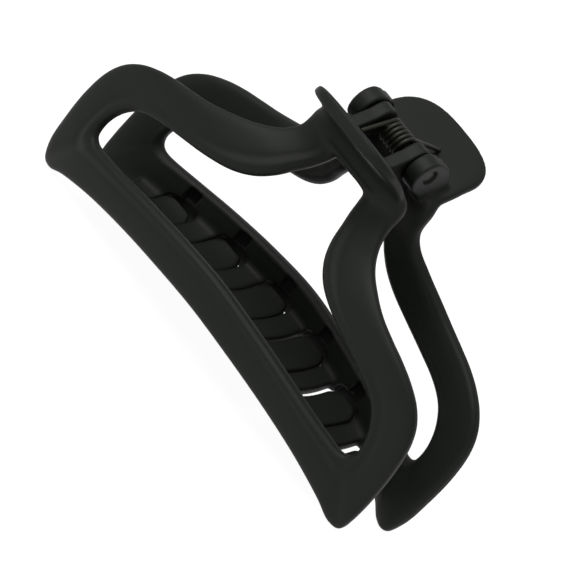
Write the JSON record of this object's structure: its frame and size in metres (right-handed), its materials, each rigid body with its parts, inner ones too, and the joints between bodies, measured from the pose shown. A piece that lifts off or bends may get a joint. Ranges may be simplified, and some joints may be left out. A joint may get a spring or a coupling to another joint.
{
  "type": "claw clip",
  "caption": "Large sprung hair claw clip: two open-frame jaws with interlocking curved teeth and finger plates, hinged on a steel pin with a torsion spring.",
  "frame": {"origin": "under the middle of the closed clip, at the height of its four lowest frame corners", "axes": "+X along the hinge pin (the clip's length), +Y from the front jaw (inner knuckles) to the back jaw (outer knuckles), +Z from the teeth up to the finger plates"},
  "size_m": [0.112, 0.0459, 0.0657],
  "materials": {
    "black_plastic": "matte, fine soft-touch grain",
    "spring_steel": "blackened wire, half gloss",
    "pin_steel": "blackened, half gloss"
  },
  "bodies": {
    "back_jaw": {"back_jaw": "black_plastic", "hinge_pin": "pin_steel", "torsion_spring": "spring_steel"},
    "front_jaw": {"front_jaw": "black_plastic"}
  },
  "joints": [
    {"name": "jaw_hinge", "type": "hinge", "parent": "back_jaw", "child": "front_jaw", "pos_m": [0, 0, 0.06142], "axis": [-1, 0, 0], "range_deg": [0, 80], "stiffness_Nm_per_rad": 0.08, "springref_deg": -34.38, "deforming": ["torsion_spring"]}
  ]
}
